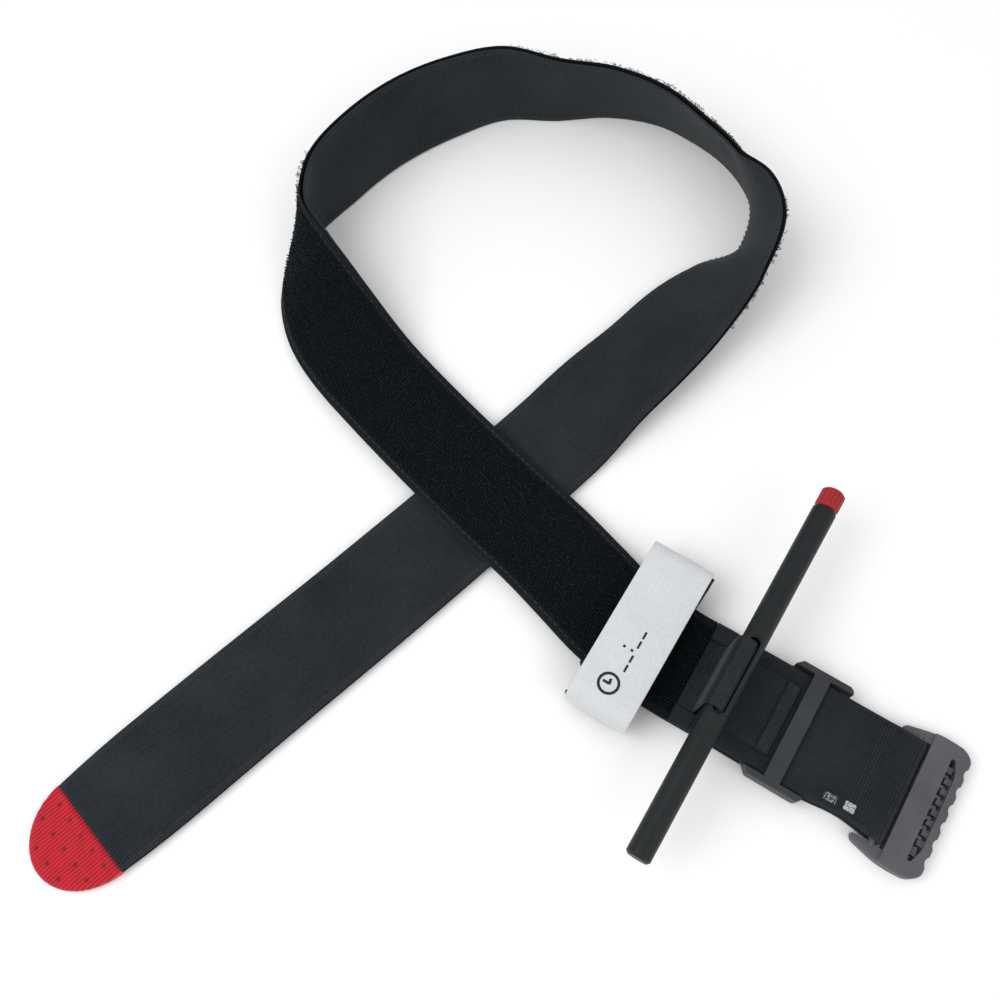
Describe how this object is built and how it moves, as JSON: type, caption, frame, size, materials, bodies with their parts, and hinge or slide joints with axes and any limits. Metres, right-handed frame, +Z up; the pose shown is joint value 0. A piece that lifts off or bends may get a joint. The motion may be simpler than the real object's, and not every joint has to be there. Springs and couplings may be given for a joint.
{
  "type": "tourniquet",
  "caption": "One-hand windlass tourniquet laid out as an open loop: webbing band with red tail, turning rod, rod clip, time strap, slider and routing buckle.",
  "frame": {"origin": "on the table under the windlass axis, on the flat underside of the stabiliser plate", "axes": "+X along the front of the band towards the end buckle, +Y along the windlass rod towards its red plug, +Z up"},
  "size_m": [0.305, 0.3657, 0.0383],
  "materials": {
    "ribbed_webbing": "ribbed woven nylon webbing, matt with a faint sheen",
    "loop_pile": "looped pile, matt",
    "tension_webbing": "fine woven nylon webbing",
    "red_webbing": "red ribbed webbing with weld dots",
    "black_plastic": "moulded nylon, matt",
    "buckle_plastic": "moulded acetal, fine matt grain",
    "rod_plastic": "moulded nylon, satin",
    "red_plastic": "moulded, satin",
    "white_label": "coated white writing strap, matt",
    "hook_tape": "black hook tape",
    "thread": "bonded sewing thread"
  },
  "bodies": {
    "band": {"band_lining": "ribbed_webbing", "band_pile": "loop_pile", "tension_band": "tension_webbing", "tension_leg": "tension_webbing", "tension_run": "tension_webbing", "tension_hem": "tension_webbing", "red_tip": "red_webbing", "stabiliser_plate": "black_plastic", "windlass_clip": "black_plastic", "time_strap_base": "hook_tape", "buckle_strap": "ribbed_webbing", "stitched_fold": "ribbed_webbing", "seam_rows": "thread"},
    "windlass": {"windlass_rod": "rod_plastic", "tension_wrap": "tension_webbing"},
    "plug": {"end_plug": "red_plastic"},
    "time_flap": {"time_strap": "white_label", "time_strap_backing": "hook_tape"},
    "slider": {"slider": "buckle_plastic"},
    "end_buckle": {"end_buckle": "buckle_plastic"}
  },
  "joints": [
    {"name": "windlass_turn", "type": "hinge", "parent": "band", "child": "windlass", "pos_m": [0, 0, 0.02345], "axis": [0, 0, 1], "continuous": true},
    {"name": "plug_pull", "type": "slide", "parent": "windlass", "child": "plug", "axis": [0, 1, 0], "range_m": [0, 0.012]},
    {"name": "time_flap_open", "type": "hinge", "parent": "band", "child": "time_flap", "pos_m": [-0.0323, 0.03095, 0.01013], "axis": [-1, 0, 0], "range_deg": [0, 170]},
    {"name": "slider_move", "type": "slide", "parent": "band", "child": "slider", "axis": [1, 0, 0], "range_m": [0, 0.012]},
    {"name": "end_buckle_swing", "type": "hinge", "parent": "band", "child": "end_buckle", "pos_m": [0.062, 0, 0.0043], "axis": [0, -1, 0], "range_deg": [-45, 100]}
  ]
}
